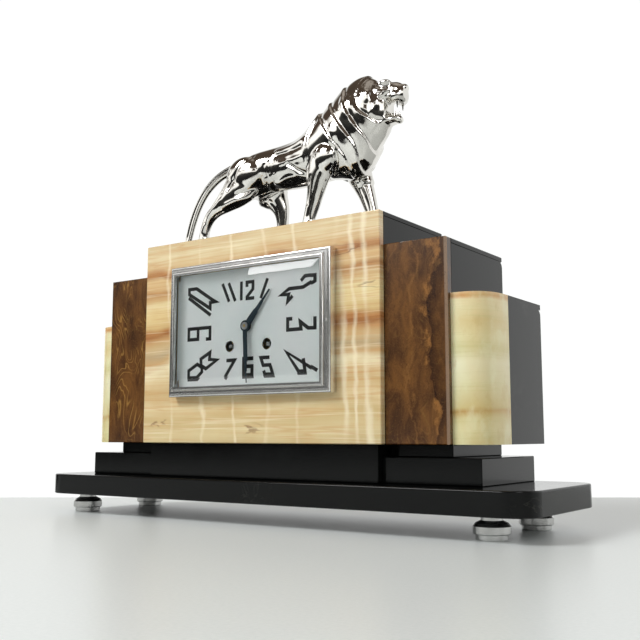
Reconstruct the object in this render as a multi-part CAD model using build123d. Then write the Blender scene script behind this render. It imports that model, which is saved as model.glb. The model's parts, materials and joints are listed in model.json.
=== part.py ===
"""Mantel clock of black marble and onyx with a striding lion and a two-train striking movement.

Units are millimetres. +X points to the clock's right-hand end as seen from the front, +Y to the back
and +Z up. The origin is on the standing surface, under the middle of the base slab. Dimensions here
are set out from the dial's middle plane, which the slab does not share; save() moves every shape over.
"""
from math import atan2, cos, hypot, pi, radians, sin, sqrt
import os

from build123d import *

# ---------------------------------------------------------------- driving dimensions
arris = 0.6                     # small bevel on every polished slab

base_left, base_right, base_front, base_back = -221.5, 238.0, -69.0, 63.5
base_thick, base_corner = 17.0, 20.0
origin_x, origin_y = (base_left + base_right) / 2, (base_front + base_back) / 2
foot_height, foot_x, foot_y = 17.0, 199.0, 39.0
foot_ring_radius, foot_disc_radius, foot_stem_radius = 12.6, 10.9, 7.3
foot_stud_radius, foot_stud_length = 4.0, 11.0

face_y = -48.5                  # front of the middle onyx plate
body_z = foot_height + base_thick + 28.0
centre_half, centre_top_z, centre_back_y = 120.0, 233.5, 51.5
centre_plate, wall, top_slab = 6.0, 12.0, 4.0

brown_half, brown_top_z, brown_back_y = 171.0, 208.0, 54.0
brown_front_y, brown_plate = face_y + 5.3, 8.2
brown_arris = 1.8               # wide bevel down the brown plates' outer front edges

outer_half, outer_top_z, outer_back_y = 199.5, 168.0, 58.5
outer_round_x, outer_round_y = outer_half - brown_half, 34.1
outer_fullness = 0.74           # 0.55 would make the corner an ellipse, 1.0 a square
outer_side_front_y = -3.4
outer_plate, wing_wall = 8.0, 8.0

step_half, step_front_y, step_top_z = 192.5, face_y + 10.2, 53.0
cap_half, cap_front_y, plinth_back_y = 166.5, face_y + 19.9, 55.0
plinth_half, plinth_front_y = 114.5, face_y + 4.2

dial_z = 154.5                  # height of the hands' axis
dial_hole = 44.0                # round opening for the movement
bezel_half_x, bezel_half_z, bezel_rim, bezel_proud = 82.0, 54.6, 7.8, 11.5
winding_x, winding_z = 19.0, dial_z - 15.0
winding_square = 3.4

plate_radius, plate_thick = 40.0, 2.0
front_plate_y, back_plate_y = -38.0, -6.0       # front faces of the two movement plates
running_clearance = 0.05

lion_y = -4.0                   # the lion's middle plane

os.makedirs("parts", exist_ok=True)


# ---------------------------------------------------------------- helpers
def save(node, shape):
    """Write one sub-part to its own STEP file."""
    solids = [Pos(-origin_x, -origin_y, 0) * solid for solid in shape.solids()]
    export_step(Compound(children=solids) if len(solids) > 1 else solids[0], f"parts/{node}.step")


def block(x0, x1, y0, y1, z0, z1):
    """Plain box between two corners."""
    centre = ((x0 + x1) / 2, (y0 + y1) / 2, (z0 + z1) / 2)
    return Pos(*centre) * Box(x1 - x0, y1 - y0, z1 - z0)


def slab(x0, x1, y0, y1, z0, z1):
    """Polished stone slab with every edge broken by a small arris."""
    body = block(x0, x1, y0, y1, z0, z1)
    return chamfer(body.edges(), arris)


def prism(sketch, y_front, y_back):
    """Extrude a sketch drawn as seen from the front (x, height) between two depths."""
    return Pos(0, y_back, 0) * Rot(90, 0, 0) * extrude(sketch, amount=y_back - y_front)


def disc(radius, y_front, y_back, x=0.0, z=0.0):
    """Round disc or rod lying along Y."""
    return prism(Pos(x, z) * Circle(radius), y_front, y_back)


def post(radius, x, y, z0, z1):
    """Upright round rod."""
    return Pos(x, y, (z0 + z1) / 2) * Cylinder(radius, z1 - z0)


def mirrored(shape, side):
    """The right-hand shape for side 1, its mirror image for side -1."""
    return shape if side > 0 else mirror(shape, about=Plane.YZ)


def tooth_ring(teeth, module, phase=0.0):
    """Spur gear outline with straight flanks and generous backlash, phase in teeth."""
    pitch = 2 * pi / teeth
    radius = teeth * module / 2
    root, tip = radius - 1.05 * module, radius + 0.75 * module
    flank = ((root, -0.29), (tip, -0.09), (tip, 0.09), (root, 0.29))
    points = []
    for tooth in range(teeth):
        for r, offset in flank:
            angle = (tooth + phase + offset) * pitch
            points.append((r * sin(angle), r * cos(angle)))
    return make_face(Polyline(*points, close=True))


def gear(teeth, module, y_front, y_back, x, z, phase=0.0):
    """Spur gear about a fore-and-aft axis."""
    return prism(Pos(x, z) * tooth_ring(teeth, module, phase), y_front, y_back)


def mesh_phase(teeth, from_x, from_z, to_x, to_z, offset):
    """Phase in teeth that puts a tooth (offset 0) or a gap (0.5) on the line to another gear."""
    clockwise = atan2(to_x - from_x, to_z - from_z)
    return clockwise / (2 * pi / teeth) + offset


def joined(*shapes):
    """One solid from several that touch or overlap."""
    result = shapes[0]
    for shape in shapes[1:]:
        result = result + shape
    return result


# ---------------------------------------------------------------- base, plinth and feet
def base_slab():
    plan = RectangleRounded(base_right - base_left, base_back - base_front, base_corner)
    body = extrude(plan, amount=base_thick)
    body = fillet(body.faces().sort_by(Axis.Z)[-1].edges(), 1.2)
    body = chamfer(body.faces().sort_by(Axis.Z)[0].edges(), arris)
    body = Pos(origin_x, origin_y, foot_height) * body
    for x, y in foot_places():
        body -= post(foot_stud_radius, x, y, foot_height, foot_height + foot_stud_length)
    save("base_slab", body)


def foot_places():
    return [(sx * foot_x, sy * foot_y) for sx in (-1, 1) for sy in (-1, 1)]


def feet():
    """Turned steel feet: lower disc, bulged ring, cone and stem, with a stud into the slab."""
    profile = [
        (0, 0),
        (foot_disc_radius - 0.5, 0),
        (foot_disc_radius, 0.5),
        (foot_disc_radius, 3.6),
        (foot_ring_radius - 0.9, 3.6),
        (foot_ring_radius, 4.5),
        (foot_ring_radius, 9.0),
        (foot_ring_radius - 1.6, 11.2),
        (foot_stem_radius, 12.9),
        (foot_stem_radius, foot_height),
        (foot_stud_radius, foot_height),
        (foot_stud_radius, foot_height + foot_stud_length),
        (0, foot_height + foot_stud_length),
    ]
    outline = make_face(Polyline(*[(r, 0, z) for r, z in profile], close=True))
    foot = revolve(outline, Axis.Z)
    save("feet", Compound(children=[Pos(x, y, 0) * foot for x, y in foot_places()]))


def plinth():
    floor_z = foot_height + base_thick
    save("plinth_centre", slab(-plinth_half, plinth_half, plinth_front_y, plinth_back_y - 4, floor_z, body_z))
    for side, name in ((-1, "left"), (1, "right")):
        step = slab(plinth_half, step_half, step_front_y, plinth_back_y, floor_z, step_top_z)
        cap = slab(plinth_half, cap_half, cap_front_y, plinth_back_y, step_top_z, body_z)
        save(f"plinth_step_{name}", mirrored(step, side))
        save(f"plinth_cap_{name}", mirrored(cap, side))


# ---------------------------------------------------------------- case panels
def side_panel(x0, x1, y0, y1, z1):
    """Side slab whose top back corner is rounded off."""
    panel = block(x0, x1, y0, y1, body_z, z1)
    corner = panel.edges().filter_by(Axis.X).sort_by(Axis.Z)[-2:].sort_by(Axis.Y)[-1]
    return fillet(corner, 5.0)


def centre_case():
    inner_y = face_y + centre_plate
    front = slab(-centre_half, centre_half, face_y, inner_y, body_z, centre_top_z)
    save("centre_front_onyx", front - disc(dial_hole, face_y - 1, inner_y + 1, 0, dial_z))
    for side, name in ((-1, "left"), (1, "right")):
        panel = side_panel(centre_half - wall, centre_half, inner_y, centre_back_y, centre_top_z - top_slab)
        save(f"centre_side_{name}", mirrored(panel, side))
    top = slab(-centre_half, centre_half, inner_y, centre_back_y, centre_top_z - top_slab, centre_top_z)
    for x, y in lion_stud_places:
        top -= post(lion_stud_radius, x, y, centre_top_z - 6, centre_top_z + 1)
    save("centre_top", top)
    back = slab(wall - centre_half, centre_half - wall, centre_back_y - 10, centre_back_y, body_z,
                centre_top_z - top_slab)
    save("centre_back", back - disc(rear_hole, centre_back_y - 11, centre_back_y + 1, 0, dial_z))


rear_hole = 46.0


def brown_block():
    behind_plate = brown_front_y + brown_plate
    for side, name in ((-1, "left"), (1, "right")):
        front = slab(centre_half, brown_half, brown_front_y, behind_plate, body_z, brown_top_z)
        bevel = Polyline((brown_half - brown_arris, brown_front_y), (brown_half + 1, brown_front_y - 1),
                         (brown_half, brown_front_y + brown_arris), close=True)
        front -= Pos(0, 0, body_z) * extrude(make_face(bevel), amount=brown_top_z - body_z)
        panel = side_panel(brown_half - wing_wall, brown_half, behind_plate, brown_back_y,
                           brown_top_z - top_slab)
        save(f"brown_front_{name}", mirrored(front, side))
        save(f"brown_side_{name}", mirrored(panel, side))


def quarter_plan(inset):
    """Plan of the outer block's rounded front corner, drawn in by an inset."""
    reach_x, reach_y = outer_round_x - inset, outer_round_y - inset
    front = (brown_half, outer_side_front_y - reach_y)
    side = (brown_half + reach_x, outer_side_front_y)
    curve = Bezier(front, (front[0] + outer_fullness * reach_x, front[1]),
                   (side[0], side[1] - outer_fullness * reach_y), side)
    middle = (brown_half, outer_side_front_y)
    return make_face(curve + Line(side, middle) + Line(middle, front))


def outer_block():
    height = outer_top_z - body_z
    for side, name in ((-1, "left"), (1, "right")):
        front = extrude(quarter_plan(0) - quarter_plan(outer_plate), amount=height)
        panel = side_panel(outer_half - wing_wall, outer_half, outer_side_front_y, outer_back_y,
                           outer_top_z - top_slab)
        save(f"outer_front_{name}", mirrored(Pos(0, 0, body_z) * front, side))
        save(f"outer_side_{name}", mirrored(panel, side))


def wing_tops_and_backs():
    """Thin top slabs and back panels of the brown and outer blocks, left and right."""
    brown_top = slab(centre_half, brown_half, brown_front_y + brown_plate, brown_back_y,
                     brown_top_z - top_slab, brown_top_z)
    plan = quarter_plan(outer_plate) + Pos((brown_half + outer_half) / 2,
                                           (outer_side_front_y + outer_back_y) / 2) * Rectangle(
        outer_half - brown_half, outer_back_y - outer_side_front_y)
    outer_top = Pos(0, 0, outer_top_z - top_slab) * extrude(plan, amount=top_slab)
    brown_back = block(centre_half, brown_half - wing_wall, brown_back_y - 8, brown_back_y, body_z,
                       brown_top_z - top_slab)
    outer_back = block(brown_half, outer_half - wing_wall, outer_back_y - 8, outer_back_y, body_z,
                       outer_top_z - top_slab)
    tops = [mirrored(top, side) for top in (brown_top, outer_top) for side in (-1, 1)]
    backs = [mirrored(back, side) for back in (brown_back, outer_back) for side in (-1, 1)]
    save("wing_top_slabs", Compound(children=tops))
    save("wing_back_panels", Compound(children=backs))


# ---------------------------------------------------------------- lion
lion_stud_radius = 2.5
lion_stud_places = [(-80.0, lion_y - 13.0), (83.0, lion_y + 12.0)]


def horizontal_loft(stations):
    """Loft of flat ovals: each station is x, y, height above the block, half length, half width."""
    ovals = [Pos(x, y, centre_top_z + h) * Ellipse(a, b) for x, y, h, a, b in stations]
    return loft(ovals)


def upright_loft(stations):
    """Loft of ovals standing across X: each is x, y, middle height, half width, half height."""
    ovals = [Plane(origin=(x, y, centre_top_z + h), x_dir=(0, 1, 0), z_dir=(1, 0, 0)) * Ellipse(b, c)
             for x, y, h, b, c in stations]
    return loft(ovals)


def lion():
    """One casting, plain here: trunk, mane and head, four legs and the tail."""
    y = lion_y
    trunk = upright_loft([
        (-60, y, 58, 8, 12), (-52, y, 58, 15, 16), (-36, y, 60, 18, 19), (-12, y, 64, 17, 19),
        (12, y, 64, 17, 21), (30, y, 68, 20, 24), (46, y, 75, 23, 31), (62, y, 81, 24, 37),
        (78, y, 84, 22, 41), (90, y, 89, 18, 33), (100, y, 94, 11, 20)])
    muzzle = upright_loft([(92, y, 105, 15, 12), (106, y, 105, 11, 10), (118, y, 103, 7, 7)])
    jaw = upright_loft([(92, y, 88, 12, 9), (104, y, 85, 8, 5), (113, y, 84, 5, 3)])
    near_hind = horizontal_loft([
        (-78, y - 13, 0, 12, 8), (-79, y - 13, 6, 11, 7), (-81, y - 13, 15, 6, 5),
        (-72, y - 13, 28, 8.5, 6), (-54, y - 12, 39, 19, 8), (-38, y - 9, 58, 22, 9)])
    far_hind = horizontal_loft([
        (-9, y + 13, 0, 12, 8), (-10, y + 13, 6, 11, 7), (-13, y + 13, 17, 6.5, 5),
        (-14, y + 13, 30, 9, 6), (-22, y + 12, 42, 17, 8), (-30, y + 9, 60, 20, 9)])
    near_fore = horizontal_loft([
        (39, y - 14, 0, 12, 8), (38, y - 14, 6, 11, 7), (35, y - 14, 13, 6.5, 5.5), (41, y - 14, 31, 8.5, 6),
        (45, y - 14, 46, 12, 8), (48, y - 12, 70, 14, 9)])
    far_fore = horizontal_loft([
        (84, y + 12, 0, 12, 8), (83, y + 12, 6, 11, 7), (80, y + 12, 15, 6.5, 5.5), (74, y + 12, 30, 8, 6),
        (68, y + 12, 46, 11, 8), (62, y + 10, 68, 14, 9)])
    tail_points = [(-50, 74), (-66, 72), (-81, 67), (-93, 57), (-104, 41), (-112, 22), (-116, 4)]
    tail_path = Spline(*[(x, y, centre_top_z + height) for x, height in tail_points])
    tail = sweep((tail_path ^ 0) * Circle(3), path=tail_path)
    studs = [post(lion_stud_radius, x, sy, centre_top_z - 9, centre_top_z + 1) for x, sy in lion_stud_places]
    save("lion_statuette",
         joined(trunk, muzzle, jaw, near_hind, far_hind, near_fore, far_fore, tail, *studs))


def lion_nuts():
    """Hexagon nuts under the top slab that hold the lion's studs."""
    under = centre_top_z - top_slab
    nuts = []
    for x, y in lion_stud_places:
        nut = Pos(x, y, under - 4) * extrude(RegularPolygon(5.5, 6) - Circle(lion_stud_radius), amount=4)
        nuts.append(nut)
    save("lion_nuts", Compound(children=nuts))


# ---------------------------------------------------------------- dial and bezel
def rim_frame(half_x, half_z, rim, y_front, y_back):
    """Rectangular frame lying against the face."""
    sketch = Pos(0, dial_z) * (Rectangle(2 * half_x, 2 * half_z)
                               - Rectangle(2 * (half_x - rim), 2 * (half_z - rim)))
    return prism(sketch, y_front, y_back)


surround_half_x, surround_half_z, surround_rim = 78.5, 51.1, 13.5
surround_front_y, dial_front_y = face_y - 2.2, face_y - 3.2
dial_half_x, dial_half_z = 75.0, 47.6
glass_half_x, glass_half_z = bezel_half_x - 6.2, bezel_half_z - 6.2
glass_back_y, glass_edge, glass_thick, glass_bevel = face_y - 8.9, 1.4, 3.0, 6.5
hinge_x, hinge_y, knuckle_radius, pin_radius = -bezel_half_x - 1.4, face_y - 1.9, 1.5, 0.7
knuckle_reach = 12.0
bezel_steps = ((5.2, 10.6), (4.7, 9.3), (2.0, 7.9))      # (distance in from the edge, height off the face)


def dial_surround():
    """Fixed brass frame that carries the dial, the hinge and the movement straps."""
    frame = rim_frame(surround_half_x, surround_half_z, surround_rim, surround_front_y, face_y)
    tab = block(hinge_x, -surround_half_x, hinge_y + 0.4, hinge_y + 1.4, dial_z - 3.8, dial_z + 3.8)
    knuckle = post(knuckle_radius, hinge_x, hinge_y, dial_z - 3.8, dial_z + 3.8)
    pin_hole = post(pin_radius, hinge_x, hinge_y, dial_z - 5, dial_z + 5)
    save("dial_surround", joined(frame, tab, knuckle) - pin_hole)


def dial_plate():
    """Flat silvered dial with feet on its back; one hole for the hands and two for winding."""
    plate = block(-dial_half_x, dial_half_x, dial_front_y, surround_front_y, dial_z - dial_half_z,
                  dial_z + dial_half_z)
    plate -= disc(3.4, dial_front_y - 1, surround_front_y + 1, 0, dial_z)
    for x in (-winding_x, winding_x):
        plate -= disc(4.6, dial_front_y - 1, surround_front_y + 1, x, winding_z)
    for x in (-24, 24):
        for z in (-22, 22):
            plate += disc(1.2, surround_front_y, front_plate_y, x, dial_z + z)
    save("dial_plate", plate)


def bezel_frame():
    """Hinged bezel: stepped moulding that rises towards the glass, with a rebate behind its lip."""
    frame = rim_frame(bezel_half_x, bezel_half_z, bezel_rim, face_y - bezel_proud, face_y - 0.3)
    for inset, proud in bezel_steps:
        frame -= rim_frame(bezel_half_x + 2, bezel_half_z + 2, 2 + inset, face_y - bezel_proud - 1,
                           face_y - proud)
    rebate = Pos(0, dial_z) * Rectangle(2 * glass_half_x + 0.4, 2 * glass_half_z + 0.4)
    frame -= prism(rebate, glass_back_y - glass_edge, face_y)
    recess = Pos(0, dial_z) * Rectangle(2 * bezel_half_x - 5, 2 * bezel_half_z - 5)
    frame -= prism(recess, dial_front_y - 0.3, face_y)
    frame -= block(-bezel_half_x - 1, 3 - bezel_half_x, hinge_y - 2.0, face_y, dial_z - 4.2, dial_z + 4.2)
    for side in (-1, 1):
        z0, z1 = sorted((dial_z + side * 4.2, dial_z + side * knuckle_reach))
        knuckle = post(knuckle_radius, hinge_x, hinge_y, z0, z1)
        bridge = block(hinge_x, 0.6 - bezel_half_x, hinge_y - 1.0, hinge_y + 0.8, z0, z1)
        frame += knuckle + bridge
    frame -= post(pin_radius + running_clearance, hinge_x, hinge_y, dial_z - 20, dial_z + 20)
    save("bezel_frame", frame)


def bezel_glass():
    """Bevelled glass: thin at the edge where the bezel holds it, thick in the middle."""
    back = glass_back_y
    edge = prism(Pos(0, dial_z) * Rectangle(2 * glass_half_x, 2 * glass_half_z), back - glass_edge, back)
    outline = Pos(0, dial_z) * Rectangle(2 * glass_half_x - 4.4, 2 * glass_half_z - 4.4)
    inner = Pos(0, dial_z) * Rectangle(2 * (glass_half_x - glass_bevel - 2), 2 * (glass_half_z - glass_bevel - 2))
    low = Pos(0, back - glass_edge, 0) * Rot(90, 0, 0) * outline
    high = Pos(0, back - glass_thick, 0) * Rot(90, 0, 0) * inner
    save("bezel_glass", edge + loft([low, high]))


def bezel_catch():
    """Small round stud on the bezel's right side, used to pull the door open."""
    stud = disc(1.1, face_y - 10.7, face_y - 9.3, bezel_half_x - 3.4, dial_z - 1.0)
    save("bezel_catch", stud)


# ---------------------------------------------------------------- hands
hour_hand_y, minute_hand_y, hand_thick = dial_front_y - 2.0, dial_front_y - 3.6, 0.6
hour_angle, minute_angle = 40.0, 178.0
cannon_radius, centre_arbor_radius, hour_pipe_radius = 1.9, 1.2, 2.9


def stepped_hand(outline, boss, bore, clockwise, y_back):
    """Blade narrowing in steps; outline gives (distance, half width) pairs along the blade."""
    points = [(-w, d) for d, w in outline] + [(w, d) for d, w in reversed(outline)]
    sketch = make_face(Polyline(*points, close=True)) + Circle(boss) - Circle(bore)
    return prism(Pos(0, dial_z) * Rot(0, 0, -clockwise) * sketch, y_back - hand_thick, y_back)


def hands():
    hour_outline = [(0, 2.6), (6, 2.9), (15.5, 2.3), (15.5, 1.7), (25.0, 1.3), (25.0, 0.9), (36, 0.6)]
    save("hour_hand", stepped_hand(hour_outline, 4.6, hour_pipe_radius, hour_angle, hour_hand_y))
    minute_outline = [(0, 2.1), (28.5, 1.9), (28.5, 1.2), (36.5, 1.1), (36.5, 0.45), (44.6, 0.35)]
    save("minute_hand", stepped_hand(minute_outline, 4.4, cannon_radius, minute_angle, minute_hand_y))
    nut_front = minute_hand_y - 2 * hand_thick
    nut = disc(3.0, nut_front, minute_hand_y - hand_thick, 0, dial_z)
    nut -= disc(centre_arbor_radius + running_clearance, nut_front - 1, minute_hand_y, 0, dial_z)
    save("hand_nut", nut)


# ---------------------------------------------------------------- movement
def meet(x0, z0, r0, x1, z1, r1):
    """Point at r0 from the first centre and r1 from the second, on the left of the line between."""
    gap = hypot(x1 - x0, z1 - z0)
    along = (r0 ** 2 - r1 ** 2 + gap ** 2) / (2 * gap)
    aside = sqrt(r0 ** 2 - along ** 2)
    ux, uz = (x1 - x0) / gap, (z1 - z0) / gap
    return x0 + along * ux + aside * uz, z0 + along * uz - aside * ux


def mean_distance(teeth, pinion, module):
    return (teeth + pinion) * module / 2


great_teeth, great_pinion, great_module = 84, 12, 0.42
inter_teeth, centre_pinion, inter_module = 72, 16, 0.32
centre_teeth, third_pinion, centre_module = 96, 8, 0.265
third_teeth, escape_pinion, third_module = 96, 8, 0.24
escape_teeth, escape_radius = 40, 7.0
cannon_teeth, minute_teeth, minute_module = 12, 36, 0.50
minute_pinion, hour_teeth, hour_module = 10, 40, 0.48

great_distance = mean_distance(great_teeth, great_pinion, great_module)
inter_distance = mean_distance(inter_teeth, centre_pinion, inter_module)
centre_distance = mean_distance(centre_teeth, third_pinion, centre_module)
third_distance = mean_distance(third_teeth, escape_pinion, third_module)

inter_x, inter_z = meet(winding_x, winding_z, great_distance, 0, dial_z, inter_distance)
third_z = dial_z + centre_distance
escape_z = third_z + third_distance
pallet_z = dial_z + 37.0
minute_wheel_z = dial_z - mean_distance(minute_teeth, cannon_teeth, minute_module)
pin_wheel_x, pin_wheel_z = -inter_x, inter_z
hammer_x, hammer_z = -29.0, dial_z + 12.0

plate_gap_front = front_plate_y + plate_thick
arbor_radius, hammer_arbor_radius, pivot_radius = 0.6, 1.0, 0.4


def arbor(x, z, front=plate_gap_front, back=back_plate_y):
    """Train arbor with a thin pivot in each plate."""
    rod = disc(arbor_radius, front + 0.2, back - 0.2, x, z)
    return rod + disc(pivot_radius, front - plate_thick, back + plate_thick, x, z)


def plate_outline():
    ears = Rectangle(2 * strap_x, 10)
    return Pos(0, dial_z) * (Circle(plate_radius) + ears)


strap_x, strap_thick, strap_width = 41.0, 1.5, 10.0
pillar_circle = 36.0
train_places = [(inter_x, inter_z), (0, third_z), (0, escape_z), (0, pallet_z), (pin_wheel_x, pin_wheel_z)]


def movement_plates():
    front, back = plate_outline(), plate_outline()
    pivot_hole = Circle(pivot_radius + running_clearance)
    for x, z in train_places:
        front -= Pos(x, z) * pivot_hole
        back -= Pos(x, z) * pivot_hole
    for x in (-winding_x, winding_x):
        barrel_hole = Pos(x, winding_z) * Circle(2.5 + running_clearance)
        front -= barrel_hole
        back -= barrel_hole
    centre_hole = Pos(0, dial_z) * Circle(centre_arbor_radius + running_clearance)
    hammer_hole = Pos(hammer_x, hammer_z) * Circle(hammer_arbor_radius + running_clearance)
    front = front - centre_hole - hammer_hole
    back = back - centre_hole - hammer_hole
    stud = disc(1.1, front_plate_y - 9, front_plate_y, 0, minute_wheel_z)
    save("movement_front_plate", prism(front, front_plate_y, front_plate_y + plate_thick) + stud)
    save("movement_back_plate", prism(back, back_plate_y, back_plate_y + plate_thick))
    pillars = []
    for angle in (10, 60, 120, 170, 270):
        x, z = pillar_circle * cos(radians(angle)), dial_z + pillar_circle * sin(radians(angle))
        pillars.append(disc(2.5, plate_gap_front, back_plate_y, x, z))
    save("plate_pillars", Compound(children=pillars))


def barrel(side):
    """Mainspring barrel: thin drum with a cover at the front and the great wheel at the back."""
    x, z = side * winding_x, winding_z
    target_x, target_z = (inter_x, inter_z) if side > 0 else (pin_wheel_x, pin_wheel_z)
    wheel_phase = mesh_phase(great_teeth, x, z, target_x, target_z, 0.5)
    drum = disc(16.3, -32.0, -14.0, x, z) - disc(15.3, -31.0, -15.0, x, z)
    wheel = gear(great_teeth, great_module, -14.0, -12.0, x, z, wheel_phase)
    return drum + wheel - disc(2.5 + running_clearance, -33, -11, x, z)


def winding_arbor(side):
    """Barrel arbor with its ratchet wheel and the winding square that the key fits."""
    x, z = winding_x, winding_z
    rod = disc(2.5, front_plate_y, back_plate_y + plate_thick, x, z)
    ratchet_points = []
    for tooth in range(20):
        for r, offset in ((7.2, 0.0), (6.0, 0.12), (6.2, 0.2)):
            angle = (tooth + offset) * 2 * pi / 20
            ratchet_points.append((r * sin(angle), r * cos(angle)))
    ratchet = make_face(Polyline(*ratchet_points, close=True))
    wheel = prism(Pos(x, z) * ratchet, front_plate_y - 2.0, front_plate_y - 0.3)
    neck = disc(2.5, front_plate_y - 2.0, front_plate_y, x, z)
    square = block(x - winding_square / 2, x + winding_square / 2, face_y - 1.9, front_plate_y - 2.0,
                   z - winding_square / 2, z + winding_square / 2)
    square = chamfer(square.faces().sort_by(Axis.Y)[0].edges(), 0.4)
    return mirrored(joined(rod, neck, wheel, square), side)


def clicks():
    """Spring clicks that stop the ratchet wheels running back."""
    pawls = []
    for side in (-1, 1):
        x = side * winding_x
        lever = make_face(Polyline((0, 0), (side * 4.5, -1.4), (side * 5.0, 5.0), (side * 2.6, 6.2), close=True))
        tip_x = x + side * 7.6
        pawls.append(prism(Pos(tip_x, winding_z) * lever, front_plate_y - 2.0, front_plate_y))
    save("ratchet_clicks", Compound(children=pawls))


def barrels_and_springs():
    save("going_barrel", barrel(1))
    save("strike_barrel", barrel(-1))
    save("going_winding_arbor", winding_arbor(1))
    save("strike_winding_arbor", winding_arbor(-1))
    springs = []
    for side in (-1, 1):
        x = side * winding_x
        coil = disc(14.6, -30.5, -15.5, x, winding_z) - disc(8.5, -31, -15, x, winding_z)
        springs.append(coil)
    save("mainsprings", Compound(children=springs))
    clicks()


def going_train():
    """Intermediate, centre, third and escape wheels, each on its arbor."""
    inter = joined(
        arbor(inter_x, inter_z),
        gear(great_pinion, great_module, -14.5, -11.5, inter_x, inter_z,
             mesh_phase(great_pinion, inter_x, inter_z, winding_x, winding_z, 0)),
        gear(inter_teeth, inter_module, -9.6, -8.4, inter_x, inter_z,
             mesh_phase(inter_teeth, inter_x, inter_z, 0, dial_z, 0)))
    save("intermediate_wheel", inter)
    centre = joined(
        disc(centre_arbor_radius, minute_hand_y - 2 * hand_thick, back_plate_y + plate_thick, 0, dial_z),
        gear(centre_pinion, inter_module, -10.2, -7.8, 0, dial_z,
             mesh_phase(centre_pinion, 0, dial_z, inter_x, inter_z, 0.5)),
        gear(centre_teeth, centre_module, -34.8, -33.6, 0, dial_z,
             mesh_phase(centre_teeth, 0, dial_z, 0, third_z, 0.5)))
    save("centre_wheel", centre)
    third = joined(
        arbor(0, third_z),
        gear(third_pinion, centre_module, -35.4, -33.0, 0, third_z,
             mesh_phase(third_pinion, 0, third_z, 0, dial_z, 0)),
        gear(third_teeth, third_module, -20.6, -19.6, 0, third_z,
             mesh_phase(third_teeth, 0, third_z, 0, escape_z, 0)))
    save("third_wheel", third)
    escape = joined(
        arbor(0, escape_z),
        gear(escape_pinion, third_module, -21.4, -18.8, 0, escape_z,
             mesh_phase(escape_pinion, 0, escape_z, 0, third_z, 0.5)),
        escape_disc())
    save("escape_wheel", escape)


def escape_disc():
    """Escape wheel with fine leaning teeth."""
    points = []
    for tooth in range(escape_teeth):
        for r, offset in ((escape_radius - 1.0, -0.25), (escape_radius, 0.18), (escape_radius, 0.24),
                          (escape_radius - 1.0, 0.15)):
            angle = (tooth + offset) * 2 * pi / escape_teeth
            points.append((r * sin(angle), r * cos(angle)))
    return prism(Pos(0, escape_z) * make_face(Polyline(*points, close=True)), -10.4, -9.4)


def pallets():
    """Anchor with two pallet nibs, on the arbor that also carries the crutch."""
    arm = Pos(0, pallet_z) * (Rectangle(3.0, 3.0) + Pos(0, -1.0) * Rectangle(13.0, 2.0))
    for side in (-1, 1):
        arm += Pos(side * 6.0, pallet_z - 3.4) * Rectangle(0.9, 3.8)
    crutch_y = back_plate_y + plate_thick
    crutch = block(-0.8, 0.8, crutch_y + 1.0, crutch_y + 2.0, pallet_z - 26, pallet_z + 1.5)
    fork = block(-2.4, 2.4, crutch_y + 1.0, pendulum_y + 2.0, pallet_z - 28, pallet_z - 24)
    fork -= block(-1.2, 1.2, pendulum_y - 2.2, pendulum_y + 3.0, pallet_z - 29, pallet_z - 23)
    rod = joined(disc(arbor_radius, plate_gap_front + 0.2, back_plate_y - 0.2, 0, pallet_z),
                 disc(pivot_radius, front_plate_y, crutch_y + 2.0, 0, pallet_z))
    save("pallets_and_crutch", joined(prism(arm, -10.4, -9.4), rod, crutch, fork))


pendulum_y = 8.0
pendulum_length, bob_radius = 97.0, 12.0


def pendulum():
    """Rod with its suspension spring at the top, and the round bob near the bottom."""
    bob_z = pallet_z - pendulum_length
    spring = block(-1.5, 1.5, pendulum_y - 0.2, pendulum_y + 0.2, pallet_z - 8, pallet_z - 0.3)
    rod = post(0.9, 0, pendulum_y, bob_z - bob_radius - 4, pallet_z - 8)
    save("pendulum_rod", spring + rod)
    bob = disc(bob_radius, pendulum_y - 3.5, pendulum_y + 3.5, 0, bob_z)
    bob = fillet(bob.edges().filter_by(GeomType.CIRCLE), 2.0)
    save("pendulum_bob", bob - post(0.9, 0, pendulum_y, bob_z - 20, bob_z + 20))
    cock_y = back_plate_y + plate_thick
    foot = block(-7, 7, cock_y, cock_y + 2, pallet_z + 2.2, pallet_z + 5.0)
    arm = block(-4, 4, cock_y, pendulum_y + 3, pallet_z + 2.2, pallet_z + 5.0)
    hanger = block(-2.5, 2.5, pendulum_y - 1.5, pendulum_y + 1.5, pallet_z + 0.2, pallet_z + 2.2)
    save("suspension_cock", joined(foot, arm, hanger))


def strike_work():
    """Pin wheel that lifts the hammer, the hammer itself and the coiled gong on its stand."""
    wheel = disc(8.4, -9.6, -8.4, pin_wheel_x, pin_wheel_z)
    pins = []
    for pin in range(8):
        angle = radians(45 * pin + 20)
        pins.append(disc(0.5, -11.8, -9.6, pin_wheel_x + 7.2 * sin(angle), pin_wheel_z + 7.2 * cos(angle)))
    pinion = gear(great_pinion, great_module, -14.5, -11.5, pin_wheel_x, pin_wheel_z,
                  mesh_phase(great_pinion, pin_wheel_x, pin_wheel_z, -winding_x, winding_z, 0))
    save("strike_pin_wheel", joined(arbor(pin_wheel_x, pin_wheel_z), wheel, pinion, *pins))

    stem_y = gong_y - 7.0
    tail = block(hammer_x, hammer_x + 7.0, -11.4, -10.2, hammer_z - 0.8, hammer_z + 0.8)
    rod = disc(hammer_arbor_radius, front_plate_y, stem_y + 1, hammer_x, hammer_z)
    stem = block(hammer_x - 0.9, hammer_x + 0.9, stem_y - 1, stem_y + 1, hammer_z - 46, hammer_z)
    head = disc(4.0, stem_y - 2, gong_y + 4, hammer_x, hammer_z - 48)
    save("strike_hammer", joined(tail, rod, stem, head))

    save("gong", gong_solid())


gong_y = 24.0
gong_wire, gong_pitch, gong_turn_radius = 1.4, 5.0, 33.0


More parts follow.
